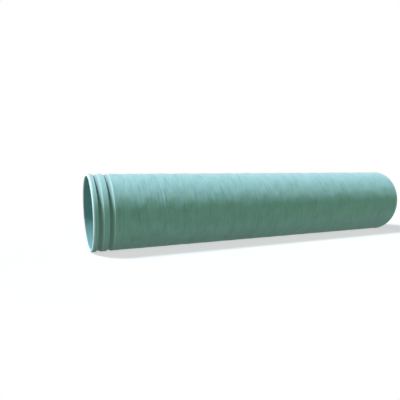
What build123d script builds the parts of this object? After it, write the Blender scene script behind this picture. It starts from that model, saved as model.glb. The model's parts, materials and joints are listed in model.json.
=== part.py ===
from build123d import *
import os

# Composite water pipe
# One length of filament-wound glass-fibre pipe, laid on the ground with its axis along +X.
# The grooved spigot is at -X and the plain end at +X. The origin is on the ground, below mid-length.

# Driving dimensions, in millimetres
laying_length = 6000.0  # length that one pipe adds to a line, without the spigot
inside_diameter = 1200.0  # nominal size, which in this series is the bore
wall_under_groove = 17.0  # wall left below a sealing groove
groove_depth = 21.0  # depth of a sealing groove below the lands
nose_land = 80.0  # from the nose face to the first groove, with the nose's rounded edge
land_between = 82.0  # land between two grooves
steep_wall_run = 4.0  # axial run of a groove's steep wall, on the nose side
groove_floor = 46.0  # width of a groove's floor, with half of the sweep up to the sloping wall
flank_run = 34.0  # axial run of a groove's sloping wall, on the pipe side
groove_count = 2

# Rounds and bevels
nose_radius = 24.0  # outer edge of the nose face
nose_mouth_chamfer = 9.0  # inner edge of the nose face
plain_mouth_chamfer = 4.0  # inner edge of the plain end's face
land_edge_chamfer = 2.5  # land edge above the steep wall
steep_foot_chamfer = 3.0  # foot of the steep wall
flank_foot_radius = 90.0  # hollow sweep from the floor up the sloping wall
flank_edge_radius = 12.0  # land edge above the sloping wall
bevel_length = 30.0  # lead-in bevel around the plain end
bevel_depth = 8.0

# Derived sizes
wall = wall_under_groove + groove_depth
bore_radius = inside_diameter / 2
outside_radius = bore_radius + wall
groove_width = steep_wall_run + groove_floor + flank_run
groove_pitch = groove_width + land_between
spigot_length = nose_land + groove_count * groove_pitch - land_between
overall_length = laying_length + spigot_length
nose_x = -overall_length / 2
plain_x = overall_length / 2
groove_starts = [nose_x + nose_land + n * groove_pitch for n in range(groove_count)]

# A groove's corners, measured from its start on the land
steep_edge = (0, 0)
steep_foot = (steep_wall_run, -groove_depth)
flank_foot = (steep_wall_run + groove_floor, -groove_depth)
flank_edge = (groove_width, 0)

match_tolerance = 0.01


def corner(section, along, radius):
    """The corner of a section at a place along the pipe and a radius from its axis."""
    return section.vertices().filter_by(
        lambda v: abs(v.X - along) < match_tolerance and abs(v.Y - radius) < match_tolerance
    )


def groove_corner(section, start, place):
    """One corner of the groove that starts at a place along the pipe."""
    along, drop = place
    return corner(section, start + along, outside_radius + drop)


# Pipe: the wall's section above the axis, turned once around it
axis_plane = Plane(origin=(0, 0, outside_radius), x_dir=(1, 0, 0), z_dir=(0, -1, 0))
pipe_axis = Axis((0, 0, outside_radius), (1, 0, 0))

with BuildPart() as pipe:
    with BuildSketch(axis_plane) as wall_section:
        with Locations((0, bore_radius)):
            Rectangle(overall_length, wall, align=(Align.CENTER, Align.MIN))
        # Sealing grooves, crisp on the nose side and broadly rounded on the pipe side
        with Locations(*[(start, outside_radius) for start in groove_starts]):
            Polygon(steep_edge, steep_foot, flank_foot, flank_edge, align=None, mode=Mode.SUBTRACT)
        for start in groove_starts:
            chamfer(groove_corner(wall_section, start, steep_edge), land_edge_chamfer)
            chamfer(groove_corner(wall_section, start, steep_foot), steep_foot_chamfer)
            fillet(groove_corner(wall_section, start, flank_foot), flank_foot_radius)
            fillet(groove_corner(wall_section, start, flank_edge), flank_edge_radius)
        # Nose
        fillet(corner(wall_section, nose_x, outside_radius), nose_radius)
        chamfer(corner(wall_section, nose_x, bore_radius), nose_mouth_chamfer)
        # Plain end
        chamfer(corner(wall_section, plain_x, bore_radius), plain_mouth_chamfer)
        with Locations((plain_x, outside_radius)):
            Polygon((-bevel_length, 0), (0, -bevel_depth), (0, 0), align=None, mode=Mode.SUBTRACT)
    revolve(axis=pipe_axis)

pipe.part.label = "pipe"

os.makedirs("parts", exist_ok=True)
export_step(pipe.part, "parts/pipe.step")
print("overall length", overall_length, "wall", wall, "bore radius", bore_radius)
print("volume in litres", round(pipe.part.volume / 1e6, 3))
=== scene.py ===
# %% [markdown]
# # A length of wound glass-fibre water pipe
#
# The real pipe is made on a turning steel mandrel. Glass rovings soaked in resin are wound round it, with
# sand in the middle of the wall, and when it has set the end is turned in a lathe to cut the two grooves for
# the sealing rings. Everything on it is therefore a shape of revolution, with a skin of fine hoops that the
# rovings leave behind.
#
# The first cell loads the measured part, a plain solid without relief, which the pipe below is made to cover.

# %% Load the measured part
import json
import math

import bmesh
import bpy
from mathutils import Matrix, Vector


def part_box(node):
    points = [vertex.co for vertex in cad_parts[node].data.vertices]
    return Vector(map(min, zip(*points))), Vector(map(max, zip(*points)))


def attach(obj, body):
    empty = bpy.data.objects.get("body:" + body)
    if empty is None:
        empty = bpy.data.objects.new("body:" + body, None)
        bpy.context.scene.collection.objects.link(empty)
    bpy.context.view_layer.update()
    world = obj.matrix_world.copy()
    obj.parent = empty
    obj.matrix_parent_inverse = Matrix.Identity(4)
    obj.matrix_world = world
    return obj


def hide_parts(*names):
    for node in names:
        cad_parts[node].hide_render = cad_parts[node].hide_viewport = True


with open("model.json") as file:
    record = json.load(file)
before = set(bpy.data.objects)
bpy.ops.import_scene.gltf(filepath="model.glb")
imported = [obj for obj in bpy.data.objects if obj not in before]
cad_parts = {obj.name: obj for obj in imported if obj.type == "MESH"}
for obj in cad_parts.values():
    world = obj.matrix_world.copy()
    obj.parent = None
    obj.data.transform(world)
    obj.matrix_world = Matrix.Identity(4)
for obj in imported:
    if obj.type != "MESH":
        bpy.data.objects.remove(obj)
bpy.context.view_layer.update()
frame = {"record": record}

low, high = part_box("pipe")
mounts = {mount["name"]: mount for mount in frame["record"]["mounts"]}

# %% [markdown]
# ## Sizes
#
# Length, diameter and bore could be typed in again, but then they might drift from the measured part, so they
# are read from it. That part is made of small flats, and a flat's corner is further out than its middle. The
# radius comes from the smaller side of its box, so that the finished pipe never grows past it, and the ends
# of the barrel come from the recorded interfaces. Only the nose, the grooves and the rounded edges have sizes
# of their own below, each where it is first needed.

# %% Sizes in metres
outside_radius = min(high[1] - low[1], high[2] - low[2]) / 2
axis_height = (high[2] + low[2]) / 2
nose_x, plain_x = low[0], high[0]
bore_radius = mounts["bore"]["dims"]["r_mm"] / 1000
barrel_middle = mounts["plain_end"]["pos_m"][0]
barrel_length = mounts["plain_end"]["dims"]["length_mm"] / 1000
barrel_start, barrel_end = barrel_middle - barrel_length / 2, barrel_middle + barrel_length / 2
print("outside radius", round(outside_radius, 5), "bore", bore_radius, "length", round(plain_x - nose_x, 4))

# %% [markdown]
# ## The section of the wall
#
# The wall is turned, so one outline holds its whole shape: the wall as a saw would show it on one side of the
# axis. It could be drawn by hand as a curve, but worked out corner by corner it keeps the pipe's real sizes.
# Corners that are rounded on the pipe get an arc. Crisp ones keep a small flat bevel, because a perfectly
# sharp edge catches no light.
#
# Every point also says what skin it has: wound barrel, turned spigot, groove, cut face or bore. The material
# reads that later.

# %% Outline helpers
section = []


def lay(points, skin):
    """Adds points to the outline, with the skin that they have."""
    section.extend((point[0], point[1], skin) for point in points)


def arc(before, at, after, radius, steps=6):
    """Points that round off one corner of an outline."""
    at = Vector(at)
    to_before, to_after = (Vector(before) - at).normalized(), (Vector(after) - at).normalized()
    half_angle = to_before.angle(to_after) / 2
    start, end = (at + way * (radius / math.tan(half_angle)) for way in (to_before, to_after))
    centre = at + (to_before + to_after).normalized() * (radius / math.sin(half_angle))
    first, last = start - centre, end - centre
    turn = first.angle(last)
    points = []
    for step in range(steps + 1):
        share = step / steps
        weight_first = math.sin((1 - share) * turn) / math.sin(turn)
        weight_last = math.sin(share * turn) / math.sin(turn)
        points.append(centre + first * weight_first + last * weight_last)
    return points


def bevel(before, at, after, size):
    """The two points that cut one corner of an outline off flat."""
    at = Vector(at)
    return [at + (Vector(other) - at).normalized() * size for other in (before, after)]


def evenly(start, end, pitch):
    """Places strictly between two ends, no further apart than a pitch."""
    steps = max(1, math.ceil(abs(end - start) / pitch))
    return [start + (end - start) * step / steps for step in range(1, steps)]


print("a rounded corner has", len(arc((0, 1), (0, 0), (1, 0), 0.1)), "points")

# %% [markdown]
# The nose is the end that goes into a socket. Its outer edge is rounded so that it slips past the rubber
# ring, and its mouth is bevelled. The bare cut glass is sealed with resin, which reaches a little way along
# the bore and the outside, so those short stretches have the skin of the cut face. A Bevel modifier would
# treat all these edges alike, so each gets its own corner here. The outline starts just inside the bore and
# goes round the nose.

# %% Nose
nose_round = 0.024
nose_mouth_bevel = 0.009
sealed_band = 0.008
skin_blend = 0.002

bore_nose, outer_nose = (nose_x, bore_radius), (nose_x, outside_radius)
inner_seal_end = nose_x + nose_mouth_bevel + sealed_band
outer_seal_end = nose_x + nose_round + sealed_band

lay([(inner_seal_end, bore_radius)], "cut")
lay(bevel((0, bore_radius), bore_nose, outer_nose, nose_mouth_bevel), "cut")
lay(arc(bore_nose, outer_nose, (0, outside_radius), nose_round, steps=8), "cut")
lay([(outer_seal_end, outside_radius)], "cut")
lay([(outer_seal_end + skin_blend, outside_radius)], "turned")
print(len(section), "points round the nose")

# %% [markdown]
# A sealing groove holds one rubber ring. Its wall on the nose side is steep, and its floor sweeps up on the
# pipe side in a broad hollow to a rounded crest, so a groove is crisp on one side and soft on the other. It
# could be cut out with a Boolean, but that leaves stray points along the cut, and a turned outline leaves
# none. Both grooves are alike, so a loop lays them.

# %% Sealing grooves
nose_land = 0.080
land_between = 0.082
groove_count = 2
groove_depth = 0.021
steep_wall_run = 0.004
groove_floor = 0.046
flank_run = 0.034
edge_bevel = 0.0025
foot_bevel = 0.003
flank_foot_round = 0.090
flank_edge_round = 0.012
groove_width = steep_wall_run + groove_floor + flank_run
floor_radius = outside_radius - groove_depth

for groove in range(groove_count):
    groove_start = nose_x + nose_land + groove * (groove_width + land_between)
    steep_edge = (groove_start, outside_radius)
    steep_foot = (groove_start + steep_wall_run, floor_radius)
    flank_foot = (groove_start + steep_wall_run + groove_floor, floor_radius)
    flank_edge = (groove_start + groove_width, outside_radius)
    lay(bevel((nose_x, outside_radius), steep_edge, steep_foot, edge_bevel), "turned")
    lay(bevel(steep_edge, steep_foot, flank_foot, foot_bevel), "groove")
    lay(arc(steep_foot, flank_foot, flank_edge, flank_foot_round), "groove")
    lay(arc(flank_foot, flank_edge, (plain_x, outside_radius), flank_edge_round), "turned")
print("grooves", round(groove_width * 1000, 1), "mm wide and", round(groove_depth * 1000, 1), "mm deep")

# %% [markdown]
# The barrel is straight, but its hoops are real relief, so it gets a ring of points every centimetre.
# Subdividing the finished pipe would add points to the bore and the ends as well, where nothing needs them.
# A bevel round the plain end leads the pipe into a sleeve. The bore is smooth, and a few rings are enough.

# %% Barrel, plain end and bore
ring_pitch = 0.0108
bore_ring_pitch = 0.4
plain_bevel_depth = 0.008
plain_mouth_bevel = 0.004

bevel_start, outer_plain = (barrel_end, outside_radius), (plain_x, outside_radius - plain_bevel_depth)
bore_plain = (plain_x, bore_radius)
bore_start, bore_end = plain_x - plain_mouth_bevel - skin_blend, inner_seal_end + skin_blend
bore_places = [bore_start, *evenly(bore_start, bore_end, bore_ring_pitch), bore_end]

lay([(x, outside_radius) for x in evenly(barrel_start, barrel_end, ring_pitch)], "wound")
lay([bevel_start, outer_plain], "turned")
lay(bevel(outer_plain, bore_plain, (0, bore_radius), plain_mouth_bevel), "cut")
lay([(x, bore_radius) for x in bore_places], "bore")
print(len(section), "points round the wall,", sum(skin == "wound" for *_, skin in section), "on the barrel")

# %% [markdown]
# ## Sums on sockets
#
# The relief and the finish are both sums on fields. They could be built as nodes and links, placed one by
# one, but long sums are hard to read that way. So a small class wraps an output socket, and an expression on
# it adds the Math nodes. One class serves the geometry tree and the shader trees, because all of them take
# the same Math, Mix and Noise nodes.

# %% A socket that can be used in sums
class Wire:
    """An output socket that can be used in sums."""

    def __init__(self, bench, socket):
        self.bench, self.socket = bench, socket

    def maths(self, operation, *others):
        """The result of a Math node that takes this socket first."""
        return self.bench.maths(operation, self, *others)

    def __add__(self, other):
        return self.bench.maths("ADD", self, other)

    def __radd__(self, other):
        return self.bench.maths("ADD", other, self)

    def __sub__(self, other):
        return self.bench.maths("SUBTRACT", self, other)

    def __rsub__(self, other):
        return self.bench.maths("SUBTRACT", other, self)

    def __mul__(self, other):
        return self.bench.maths("MULTIPLY", self, other)

    def __rmul__(self, other):
        return self.bench.maths("MULTIPLY", other, self)

    def __truediv__(self, other):
        return self.bench.maths("DIVIDE", self, other)

    def __rtruediv__(self, other):
        return self.bench.maths("DIVIDE", other, self)


print("operators that work from both sides:", [name for name in vars(Wire) if name.startswith("__r")])

# %% [markdown]
# Every node goes in through one method of a bench. Settings such as a node's operation come first, because
# they decide which sockets it has, and the values or links of the sockets follow. The short methods under it
# add the kinds of node that the pipe needs again and again.

# %% A bench for node trees
class Bench:
    """A node tree under construction."""

    def __init__(self, tree):
        self.tree = tree

    def node(self, kind, settings=None, sockets=None, out=0):
        """Adds a node: its settings first, then the values or links of its sockets, by name or number."""
        made = self.tree.nodes.new(kind)
        for name, value in (settings or {}).items():
            if name == "stops":
                ramp = made.color_ramp.elements
                while len(ramp) < len(value):
                    ramp.new(0.5)
                for stop, (place, colour) in zip(ramp, value):
                    stop.position, stop.color = place, colour
            else:
                setattr(made, name, value)
        for name, value in (sockets or {}).items():
            if isinstance(value, Wire):
                self.tree.links.new(value.socket, made.inputs[name])
            else:
                made.inputs[name].default_value = value
        return Wire(self, made.outputs[out]) if made.outputs else None

    def outputs(self, kind, sockets=None):
        """Adds a node and gives all its outputs, by name."""
        whole = self.node(kind, {}, sockets)
        return {socket.name: Wire(self, socket) for socket in whole.socket.node.outputs}

    def maths(self, operation, *terms):
        """One operation on numbers and sockets."""
        return self.node("ShaderNodeMath", {"operation": operation}, dict(enumerate(terms)))

    def stream(self, value, start, end):
        """How far a value has come from a start to an end, as 0 to 1, with soft ends."""
        sockets = {"Value": value, "From Min": start, "From Max": end}
        return self.node("ShaderNodeMapRange", {"interpolation_type": "SMOOTHSTEP"}, sockets)

    def between(self, share, first, second):
        """A colour that goes from the first to the second."""
        return self.node("ShaderNodeMix", {"data_type": "RGBA"}, {0: share, 6: first, 7: second}, out=2)

    def join(self, x, y, z):
        """A vector of three numbers."""
        return self.node("ShaderNodeCombineXYZ", {}, {0: x, 1: y, 2: z})

    def noise(self, place, size, detail, seed, squeeze=(1.0, 1.0, 1.0)):
        """Smooth noise from 0 to 1, with patches of a size, longer where an axis is squeezed."""
        squeezed = self.node("ShaderNodeVectorMath", {"operation": "MULTIPLY"}, {0: place, 1: squeeze})
        sockets = {"Vector": squeezed, "W": seed, "Scale": 1 / size, "Detail": detail}
        return self.node("ShaderNodeTexNoise", {"noise_dimensions": "4D"}, sockets)

    def seen(self):
        """1 on the rays that should meet white: the camera's own, and those from gloss or through glass."""
        rays = self.outputs("ShaderNodeLightPath")
        from_gloss, through_glass = rays["Is Glossy Ray"], rays["Is Transmission Ray"]
        return rays["Is Camera Ray"].maths("MAXIMUM", from_gloss).maths("MAXIMUM", through_glass)


print("a bench can add", [name for name in vars(Bench) if not name.startswith("_")])

# %% [markdown]
# A winder doesn't think in X, Y and Z, but in how far along the mandrel a roving lies and how far round. Both
# trees work from those numbers, so one function gives them. A turn is counted from the top of the pipe, from
# -0.5 to 0.5. A new material starts as an empty tree with a bench of its own.

# %% Places on the pipe
full_turn = 2 * math.pi


def on_pipe(bench, position, axis):
    """Where a point is: along the pipe, across, up from the axis, share of a turn, and its radius."""
    place = bench.outputs("ShaderNodeSeparateXYZ", {0: position})
    x, y, up = place["X"], place["Y"], place["Z"] - axis
    turn = y.maths("ARCTAN2", up) / full_turn
    radius = (y * y + up * up).maths("SQRT")
    return x, y, up, turn, radius


def blank_material(name):
    """A new material with an empty tree, and the bench to fill it."""
    material = bpy.data.materials.new(name)
    material.use_nodes = True
    material.node_tree.nodes.clear()
    return material, Bench(material.node_tree)


print("the axis is", round(axis_height, 4), "m above the floor")

# %% [markdown]
# ## Colours
#
# The resin is tinted a pale grey-green. It is paler where it lies thick and olive where strands come near the
# surface. A darker olive serves for the resin's smudges and also for painted shade along the side of the
# barrel. The turned spigot has a coat of its own, which is greyer in the grooves, and darker there too as
# painted shade in the hollows. The cut face shows the glass and the sand of the wall, and the liner of the
# bore is a darker blue-green.
#
# Each colour is the finish's own, without light or shade. Shaders take linear numbers, which are hard to
# judge by eye, so a colour is typed as it looks on screen and the linear numbers are worked out from that.

# %% Colours of the laminate
def srgb(red, green, blue):
    """A colour given as it looks on screen, from 0 to 255, in the linear numbers that shaders use."""
    channels = [value / 255 for value in (red, green, blue)]
    linear = [c / 12.92 if c <= 0.04045 else ((c + 0.055) / 1.055) ** 2.4 for c in channels]
    return (*linear, 1.0)


resin_pale = srgb(190, 228, 222)
resin_green = srgb(174, 214, 208)
resin_olive = srgb(158, 199, 190)
# Olive for the resin's random smudges, and also for painted shade along the side of the barrel.
olive_stain_and_shade = srgb(156, 192, 160)
spigot_coat = srgb(180, 217, 210)
# The groove coat is partly greyer and partly darkened as painted shade in the hollows.
groove_coat_and_shade = srgb(162, 193, 187)
cut_glass = srgb(223, 239, 235)
cut_sand = srgb(204, 224, 217)
bore_liner = srgb(136, 176, 174)
print("pale resin in linear numbers", tuple(round(c, 3) for c in resin_pale[:3]))

# %% [markdown]
# ## The wound skin
#
# Under the thin top coat the rovings show as hoops. Single strands come through as fine dark streaks, the
# resin is a little cloudy, and a faint line follows the edge of the band as it laps itself at each turn. On
# the upper side, where the light falls, the streaks are painted stronger and the clouds weaker, so that the
# marks follow the light. A picture wrapped round the pipe would stretch and repeat, so the marks are noise on
# the object's own coordinates, drawn out around the pipe.

# %% Marks of the winding
band_width = 0.43
strand_width, strand_squeeze = 0.022, (1.0, 0.1, 0.1)
hoop_width, hoop_squeeze = 0.055, (1.0, 0.2, 0.2)
clouds_per_metre, cloud_squeeze = 5.5, (1.0, 0.6, 0.6)
# On the upper side the streaks are painted stronger and the clouds weaker, to follow the light.
upper_side_height = 0.45
bare_strand_from, bare_strand_to = 0.54, 0.68
lower_side_streaks = 0.75
lap_fades_by, lap_starts_at = 0.07, 0.96
middle_tone = 0.57
hoop_tone, streak_tone, lap_tone = 0.8, 0.45, 0.2
cloud_tone, cloud_tone_upper = 1.3, 0.8


def winding_marks(bench, place, x, up, turn):
    """The hoops, streaks and clouds of the barrel, from 0 to 1, and the tone that they make together."""
    # Painted to follow the light: more streaks and fewer clouds on the upper side.
    upper_side = bench.stream(up, 0.0, upper_side_height)
    strands = bench.noise(place, strand_width, detail=1.0, seed=1.0, squeeze=strand_squeeze)
    streak_strength = lower_side_streaks + upper_side * (1 - lower_side_streaks)
    streaks = bench.stream(strands, bare_strand_from, bare_strand_to) * streak_strength
    hoops = bench.noise(place, hoop_width, detail=2.0, seed=2.0, squeeze=hoop_squeeze)
    clouds = bench.noise(place, 1 / clouds_per_metre, detail=3.0, seed=4.0, squeeze=cloud_squeeze)
    cloudiness = cloud_tone + upper_side * (cloud_tone_upper - cloud_tone)
    lap = (x / band_width + turn).maths("FRACT")
    lap_line = 1 - bench.stream(lap, 0.0, lap_fades_by) + bench.stream(lap, lap_starts_at, 1.0)
    tone = middle_tone + (hoops - 0.5) * hoop_tone - streaks * streak_tone
    tone = tone + (clouds - 0.5) * cloudiness - lap_line * lap_tone
    return hoops, streaks, clouds, tone


print("the band laps itself every", band_width, "m, and strands are about", strand_width, "m apart")

# %% [markdown]
# On the side towards the camera a row of olive smudges lies along the edge of the light, and a faint green
# tint lies along the side below it. Both are painted shade: the smudges stand in for the ragged edge of the
# shade, and the tint for green light in the shade. Smudges spread thinly all over are the resin's own stains.
# They could be painted on by hand. But a stripe that is a share of the turn, with soft sides, runs the whole
# length by itself, and noise breaks the smudges up.

# %% Colour of the barrel
smudge_size, smudge_squeeze = 0.15, (0.8, 1.0, 1.0)
smudge_from, smudge_to = 0.42, 0.66
smudge_share, smudge_share_at_shade_edge, green_shade_share = 0.12, 0.36, 0.2
# Where the painted shade lies, as a share of the turn from the top: the edge of the light, and the shaded
# side below it.
shade_edge_turn, green_shade_turn = -0.205, -0.258


def stripe(bench, turn, middle, core, edge):
    """1 along one line of the pipe, fading out on both sides of it."""
    return 1 - bench.stream((turn - middle).maths("ABSOLUTE"), core, edge)


def barrel_colour(bench, place, turn, tone):
    """The resin, from olive to pale by its tone, with random smudges and with painted shade: smudges along
    the edge of the light and a green tint below it.
    """
    stops = [(0.0, resin_olive), (0.45, resin_green), (1.0, resin_pale)]
    resin = bench.node("ShaderNodeValToRGB", {"stops": stops}, {0: tone})
    patches = bench.noise(place, smudge_size, detail=2.0, seed=9.0, squeeze=smudge_squeeze)
    smudges = bench.stream(patches, smudge_from, smudge_to)
    # Painted shade: a row of smudges along the edge of the light, and a green tint on the shaded side below
    # it.
    shade_edge_band = stripe(bench, turn, shade_edge_turn, core=0.008, edge=0.045)
    green_shade = stripe(bench, turn, green_shade_turn, core=0.015, edge=0.065)
    stain_and_shade = smudges * (smudge_share + shade_edge_band * smudge_share_at_shade_edge) + green_shade * green_shade_share
    return bench.between(stain_and_shade, resin, olive_stain_and_shade)


print("the smudges lie", round(shade_edge_turn * 360), "degrees round from the top")

# %% [markdown]
# One material covers the whole piece, because the real wall is one piece. It could be cut into four slots,
# but then the finishes would meet at hard edges. Instead each point's skin, which comes along from the
# section, blends them: the wound barrel, the smoother spigot, the cut face with the wall's layers as faint
# rings, and the bore, as smooth as the mandrel. Hoops and strands are also felt, as bump and as gloss.

# %% The laminate
blended_skins = ("wound", "cut", "bore", "groove")
wall_layers = 9
mean_roughness, uneven_gloss, dull_cut = 0.5, 0.2, 0.3
hoop_bump, streak_bump, level_bump = 0.5, 0.36, 0.45
turned_bump = 0.15
bump_height = 0.0025
specular_level = 0.15


def laminate():
    """The finish of the whole pipe."""
    material, bench = blank_material("wound_laminate")
    position = bench.node("ShaderNodeTexCoord", out="Object")
    x, y, up, turn, radius = on_pipe(bench, position, axis_height)
    place = bench.join(x, y, up)
    skin = {
        name: bench.node("ShaderNodeAttribute", {"attribute_name": name}, out="Fac")
        for name in blended_skins
    }
    hoops, streaks, clouds, tone = winding_marks(bench, place, x, up, turn)

    barrel = barrel_colour(bench, place, turn, tone)
    # In the grooves the darker coat is partly painted shade.
    spigot = bench.between(skin["groove"], spigot_coat, groove_coat_and_shade)
    depth_in_wall = bench.stream(radius, bore_radius, outside_radius)
    layers = bench.noise(bench.join(depth_in_wall * wall_layers, 0, 0), 1.0, detail=2.0, seed=6.0)
    face = bench.between(layers, cut_glass, cut_sand)
    colour = bench.between(skin["wound"], spigot, barrel)
    colour = bench.between(skin["cut"], colour, face)
    colour = bench.between(skin["bore"], colour, bore_liner)

    roughness = mean_roughness + (hoops - 0.5) * uneven_gloss + (clouds - 0.5) * uneven_gloss
    roughness = roughness + skin["cut"] * dull_cut
    roving_relief = hoops * hoop_bump - streaks * streak_bump + level_bump
    felt = (turned_bump + skin["wound"] * (1 - turned_bump)) * (1 - skin["cut"])
    sockets = {"Strength": 1.0, "Distance": bump_height, "Height": roving_relief * felt}
    bump = bench.node("ShaderNodeBump", {}, sockets)
    finish = {"Base Color": colour, "Roughness": roughness, "Normal": bump}
    finish["Specular IOR Level"] = specular_level
    surface = bench.node("ShaderNodeBsdfPrincipled", {}, finish)
    bench.node("ShaderNodeOutputMaterial", {}, {"Surface": surface})
    return material


pipe_skin = laminate()
print("laminate has", len(pipe_skin.node_tree.nodes), "nodes")

# %% [markdown]
# ## Winding the pipe with Geometry Nodes
#
# A lathe is a rule: carry the section round a circle. Bmesh can spin an outline too, but Curve to Mesh also
# carries the section's skins along, and its sizes stay named inputs that can be tried out. It closes the skin
# on itself, because the section and the circle are both closed.
#
# The sizes of the relief are in metres, and each layer of it is an input of its own.

# %% Inputs of the winding
winding_inputs = {
    "Sides": 136,
    "Circle Radius": bore_radius,
    "Axis Height": axis_height,
    "Hoop Pitch": 0.058,
    "Hoop Depth": 0.0009,
    "Strand Depth": 0.0026,
    "Band Width": band_width,
    "Lap Depth": 0.0016,
    "Quilt Count": 12.0,
    "Quilt Depth": 0.0024,
    "Dent Depth": 0.0048,
    "Skim Depth": 0.0022,
    "Seed": 7.0,
    "Material": pipe_skin,
}
socket_kinds = {int: "NodeSocketInt", float: "NodeSocketFloat", bpy.types.Material: "NodeSocketMaterial"}
print("the winding has", len(winding_inputs), "inputs")

# %% [markdown]
# The relief of a wound pipe has several layers, and each is a rule of its own. Fine hoops follow the rovings,
# strong where these were laid tight, and single strands break them up. The band advances by its own width at
# each turn of the mandrel, so there is a soft shoulder where it laps itself, and the resin pillows a little
# between the crossings of the band. Slow dents come from the sand below. Last, the high spots are skimmed
# flat, as by the roller that presses the resin down. Sculpting this by hand would take days. As a sum it
# takes a few lines, and it only ever cuts inwards, so the pipe keeps its outside diameter.

# %% Relief of the winding
tension_patch, loose_until, tight_from = 0.12, 0.35, 0.65
strand_patch, dent_patch = 0.055, 0.15
drawn_round, drawn_along = (1.0, 0.25, 0.25), (0.6, 1.0, 1.0)
shoulder_gone_at, shoulder_back_from = 0.12, 0.55


def winding_depth(bench, given, place, x, turn):
    """How deep the relief cuts below the outside of the barrel."""
    seed = given["Seed"]
    tightness = bench.noise(place, tension_patch, detail=1.0, seed=seed, squeeze=drawn_round)
    tension = bench.stream(tightness, loose_until, tight_from)
    wave = ((x / given["Hoop Pitch"] + turn) * full_turn).maths("SINE")
    hoops = (wave * 0.5 + 0.5) * tension
    strands = bench.noise(place, strand_patch, detail=2.0, seed=seed + 1, squeeze=drawn_round)
    bands = x / given["Band Width"] + turn
    lap = bands.maths("FRACT")
    flat = bench.stream(lap, 0.0, shoulder_gone_at) * (1 - bench.stream(lap, shoulder_back_from, 1.0))
    shoulder = 1 - flat
    crossings = (turn * given["Quilt Count"] * full_turn).maths("COSINE")
    quilt = (bands * full_turn).maths("COSINE") * crossings * 0.5 + 0.5
    dents = bench.noise(place, dent_patch, detail=1.0, seed=seed + 2, squeeze=drawn_along)
    depth = hoops * given["Hoop Depth"] + strands * given["Strand Depth"] + shoulder * given["Lap Depth"]
    depth = depth + quilt * given["Quilt Depth"] + dents * given["Dent Depth"]
    return (depth - given["Skim Depth"]).maths("MAXIMUM", 0.0)


depths = [name for name in winding_inputs if name.endswith("Depth") and name != "Skim Depth"]
deepest = sum(winding_inputs[name] for name in depths) - winding_inputs["Skim Depth"]
print("the relief is at most", round(deepest * 1000, 1), "mm deep")

# %% [markdown]
# The tree itself is then short: turn the section, lay the pipe down along X, push each point of the barrel
# inwards by its depth, and set the material. A Displace modifier could push the points too, but it would need
# a texture for that, and Set Position takes the sum as it is. Only the skin called wound is pushed.

# %% The winding tree
def winding_tree():
    """Turns a section into the pipe and presses the relief of the winding into its barrel."""
    tree = bpy.data.node_groups.new("wind_pipe", "GeometryNodeTree")
    tree.interface.new_socket("Geometry", in_out="INPUT", socket_type="NodeSocketGeometry")
    for name, value in winding_inputs.items():
        tree.interface.new_socket(name, in_out="INPUT", socket_type=socket_kinds[type(value)])
    tree.interface.new_socket("Geometry", in_out="OUTPUT", socket_type="NodeSocketGeometry")
    bench = Bench(tree)
    given = bench.outputs("NodeGroupInput")

    outline = bench.node("GeometryNodeMeshToCurve", {}, {0: given["Geometry"]})
    rim = {"Resolution": given["Sides"], "Radius": given["Circle Radius"]}
    circle = bench.node("GeometryNodeCurvePrimitiveCircle", {}, rim)
    turned = bench.node("GeometryNodeCurveToMesh", {}, {"Curve": circle, "Profile Curve": outline})
    lie_down = {"Rotation": (0, math.pi / 2, 0), "Translation": bench.join(0, 0, given["Axis Height"])}
    laid = bench.node("GeometryNodeTransform", {}, {0: turned, **lie_down})

    position = bench.node("GeometryNodeInputPosition")
    x, y, up, turn, radius = on_pipe(bench, position, given["Axis Height"])
    depth = winding_depth(bench, given, bench.join(x, y, up), x, turn)
    wound = bench.node("GeometryNodeInputNamedAttribute", {"data_type": "FLOAT"}, {"Name": "wound"})
    outwards = depth * wound * -1
    shift = bench.join(0, y / radius * outwards, up / radius * outwards)
    pressed = bench.node("GeometryNodeSetPosition", {}, {0: laid, "Offset": shift})

    smooth = bench.node("GeometryNodeSetShadeSmooth", {}, {0: pressed})
    real = bench.node("GeometryNodeRealizeInstances", {}, {0: smooth})
    done = bench.node("GeometryNodeSetMaterial", {}, {0: real, "Material": given["Material"]})
    bench.node("NodeGroupOutput", {}, {"Geometry": done})
    return tree


pipe_winding = winding_tree()
print("winding tree has", len(pipe_winding.nodes), "nodes")

# %% [markdown]
# ## Making the piece
#
# The section could be a curve, but the points of a mesh can each carry their skins as attributes, so it
# becomes a loop of edges. It is drawn the way Curve to Mesh wants it: across is the radius, and down is along
# the pipe. The winding doesn't start at full depth beside the groove or the bevel, because on the real pipe
# those stretches were turned smooth, so it fades in.

# %% Section loop
winding_fade = 0.055


def skin_share(name, along, skin):
    """How much a point has of one skin. The winding fades out towards both ends of the barrel."""
    if skin != name:
        return 0.0
    if name != "wound":
        return 1.0
    return min(1.0, (along - barrel_start) / winding_fade, (barrel_end - along) / winding_fade)


loop = bpy.data.meshes.new("wall_section")
corners = [(radius - bore_radius, -along, 0) for along, radius, _ in section]
edges = [(i, (i + 1) % len(section)) for i in range(len(section))]
loop.from_pydata(corners, edges, [])
for name in blended_skins:
    shares = loop.attributes.new(name, "FLOAT", "POINT")
    shares.data.foreach_set("value", [skin_share(name, along, skin) for along, _, skin in section])
section_loop = bpy.data.objects.new("wall_section", loop)
bpy.context.scene.collection.objects.link(section_loop)
print("the loop has", len(loop.vertices), "points and", len(loop.attributes), "attributes")

# %% [markdown]
# The modifier turns the loop into the pipe. Its inputs are set by the socket's identifier, before anything
# looks at the result, because a name isn't what the modifier stores them under. The evaluated shape is then
# kept as a plain mesh, and the loop goes away with its modifier.

# %% Wind it
winding = section_loop.modifiers.new("winding", "NODES")
winding.node_group = pipe_winding
for socket in pipe_winding.interface.items_tree:
    if socket.name in winding_inputs:
        winding[socket.identifier] = winding_inputs[socket.name]

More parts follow.
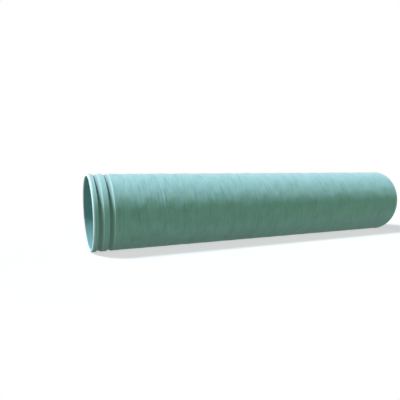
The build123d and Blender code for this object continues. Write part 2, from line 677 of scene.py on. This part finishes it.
evaluated = section_loop.evaluated_get(bpy.context.evaluated_depsgraph_get())
pipe_mesh = bpy.data.meshes.new_from_object(evaluated)
pipe_mesh.name = "wound_pipe"
bpy.data.objects.remove(section_loop)
print("triangles", 2 * len(pipe_mesh.polygons), "materials", [m.name for m in pipe_mesh.materials])

# %% [markdown]
# A turned skin can come out inside out. In the viewport its face orientation would show that. In a script its
# volume tells, which is negative then. The edges of the grooves and ends stay crisp where two faces meet at a
# clear angle, and everything else is shaded smooth. The piece rides on the pipe's one body and stands for the
# measured part.

# %% Keep the wound pipe
crisp_angle = math.radians(28)

shell = bmesh.new()
shell.from_mesh(pipe_mesh)
if shell.calc_volume(signed=True) < 0:
    bmesh.ops.reverse_faces(shell, faces=shell.faces)
print("volume in litres", round(shell.calc_volume(signed=True) * 1000, 1))
print("open edges", sum(not edge.is_manifold for edge in shell.edges))
shell.to_mesh(pipe_mesh)
shell.free()
pipe_mesh.set_sharp_from_angle(angle=crisp_angle)
wound_pipe = bpy.data.objects.new("wound_pipe", pipe_mesh)
bpy.context.scene.collection.objects.link(wound_pipe)

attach(wound_pipe, "root")
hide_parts("pipe")

# %% [markdown]
# ## Floor
#
# The pipe lies on a plain pale floor. A grey floor would show its edge against the backdrop, so to the camera
# it is white. Near the pipe a share of plain paint is mixed in, and that takes the shadow.
#
# Light that bounces up to the pipe comes from a dim green-grey instead, as ground gives back. It is darker
# under the pipe, where little light gets in, so that the pipe's underside grows darker too.

# %% Floor
white = (1.0, 1.0, 1.0, 1.0)
floor_paint = (0.97, 0.97, 0.97, 1.0)
floor_bounce = (0.214, 0.246, 0.236, 1.0)
shadow_depth = 0.4
shadow_from, shadow_to, shadow_squeeze = 2.0, 3.2, 0.25
shade_under_pipe = 0.42
shade_from, shade_to = 0.10, 0.90


def floor_material():
    """White to the camera, with the pipe's shadow, and a dim ground to light that bounces off it."""
    material, bench = blank_material("pale_floor")
    place = bench.outputs("ShaderNodeSeparateXYZ", {0: bench.node("ShaderNodeTexCoord", out="Object")})
    x, y = place["X"], place["Y"]
    past_end = (x.maths("ABSOLUTE") - plain_x).maths("MAXIMUM", 0.0)
    from_pipe = (past_end * past_end + y * y).maths("SQRT")
    open_floor = bench.stream(from_pipe, shade_from, shade_to)
    shaded = bench.node("ShaderNodeEmission", {}, {"Color": floor_bounce, "Strength": shade_under_pipe})
    lit = bench.node("ShaderNodeEmission", {}, {"Color": floor_bounce, "Strength": 1.0})
    bounce = bench.node("ShaderNodeMixShader", {}, {0: open_floor, 1: shaded, 2: lit})

    from_middle = (x * x * shadow_squeeze + y * y).maths("SQRT")
    glow = 1 - (1 - bench.stream(from_middle, shadow_from, shadow_to)) * shadow_depth
    paint = bench.node("ShaderNodeBsdfDiffuse", {}, {"Color": floor_paint})
    bright = bench.node("ShaderNodeEmission", {}, {"Color": white, "Strength": 1.0})
    shown = bench.node("ShaderNodeMixShader", {}, {0: glow, 1: paint, 2: bright})
    surface = bench.node("ShaderNodeMixShader", {}, {0: bench.seen(), 1: bounce, 2: shown})
    bench.node("ShaderNodeOutputMaterial", {}, {"Surface": surface})
    return material


floor_half = 60.0
floor_corners = [(-floor_half, -floor_half, 0), (floor_half, -floor_half, 0)]
floor_corners += [(floor_half, floor_half, 0), (-floor_half, floor_half, 0)]
ground = bpy.data.meshes.new("floor")
ground.from_pydata(floor_corners, [], [(0, 1, 2, 3)])
ground.materials.append(floor_material())
floor = bpy.data.objects.new("floor", ground)
bpy.context.scene.collection.objects.link(floor)
print("floor", 2 * floor_half, "m wide")

# %% [markdown]
# ## Light
#
# A hazy sun stands high beyond the nose and a little behind the pipe. It leaves the top of the barrel pale
# and the lower half in even shade. A low fill comes along the pipe from the nose side and lights the cut face
# and the mouth. Area lamps would fall off over six metres of pipe, so both are suns, with a wide angle for a
# soft edge to the shade.

# %% Lamps
def soft_sun(name, from_direction, strength, colour, spread):
    """A far lamp: a surface that faces it straight on sends back its own colour times the strength."""
    lamp = bpy.data.lights.new(name, "SUN")
    lamp.energy = strength * math.pi
    lamp.color = colour
    lamp.angle = math.radians(spread)
    placed = bpy.data.objects.new(name, lamp)
    placed.rotation_euler = Vector(from_direction).to_track_quat("Z", "Y").to_euler()
    bpy.context.scene.collection.objects.link(placed)
    print(name, "lamp at strength", strength)


soft_sun("key", (-0.61, 0.14, 0.78), strength=1.53, colour=(0.76, 0.83, 1.0), spread=14)
soft_sun("fill", (-0.95, -0.20, 0.12), strength=0.48, colour=(0.66, 1.0, 0.86), spread=30)

# %% [markdown]
# The world is the rest of the light: a dim sky, blue-grey overhead and green towards the horizon and below.
# Lamps alone would leave the shaded side grey, and the green gives it its tint. To the camera and in gloss
# the world is plain white, so the backdrop never tints the picture.

# %% World
horizon = (0.145, 0.475, 0.13, 1.0)
overhead = (0.04, 0.06, 0.09, 1.0)
horizon_top = 0.4

world = bpy.data.worlds.new("studio")
world.use_nodes = True
world.node_tree.nodes.clear()
air = Bench(world.node_tree)
direction = air.outputs("ShaderNodeSeparateXYZ", {0: air.node("ShaderNodeTexCoord", out="Generated")})
sky = air.between(air.stream(direction["Z"], 0.0, horizon_top), horizon, overhead)
shown_sky = air.between(air.seen(), sky, white)
backdrop = air.node("ShaderNodeBackground", {}, {"Color": shown_sky, "Strength": 1.0})
air.node("ShaderNodeOutputWorld", {}, {"Surface": backdrop})
bpy.context.scene.world = world
print("world has", len(world.node_tree.nodes), "nodes")

# %% [markdown]
# ## Camera
#
# A viewpoint can be found by eye, but this one was worked out from the photo: the two sides of the barrel
# meet at one vanishing point, and the two ends give the distance. The camera stands 0.8 m beyond the nose and
# 6.3 m out from the axis, just above the top of the pipe, and looks down a little. The fit also asks for a
# small upward shift of the lens, which moves the picture in its frame and leaves the viewpoint where it is.

# %% Camera
image_width = 400
focal_length_px = 376.79
turn_right, look_down = 0.4136, 0.1547

camera_data = bpy.data.cameras.new("camera")
camera_data.sensor_width = 36.0
camera_data.lens = focal_length_px / image_width * camera_data.sensor_width
camera_data.shift_y = 0.0673
camera = bpy.data.objects.new("camera", camera_data)
camera.location = (-3.9391, -6.3119, 1.3644)
camera.rotation_euler = (math.pi / 2 - look_down, 0, -turn_right)
bpy.context.scene.collection.objects.link(camera)
bpy.context.scene.camera = camera
bpy.context.scene.view_settings.view_transform = "Standard"
print("lens", round(camera_data.lens, 1), "mm,", round(nose_x - camera.location.x, 2), "m beyond the nose")
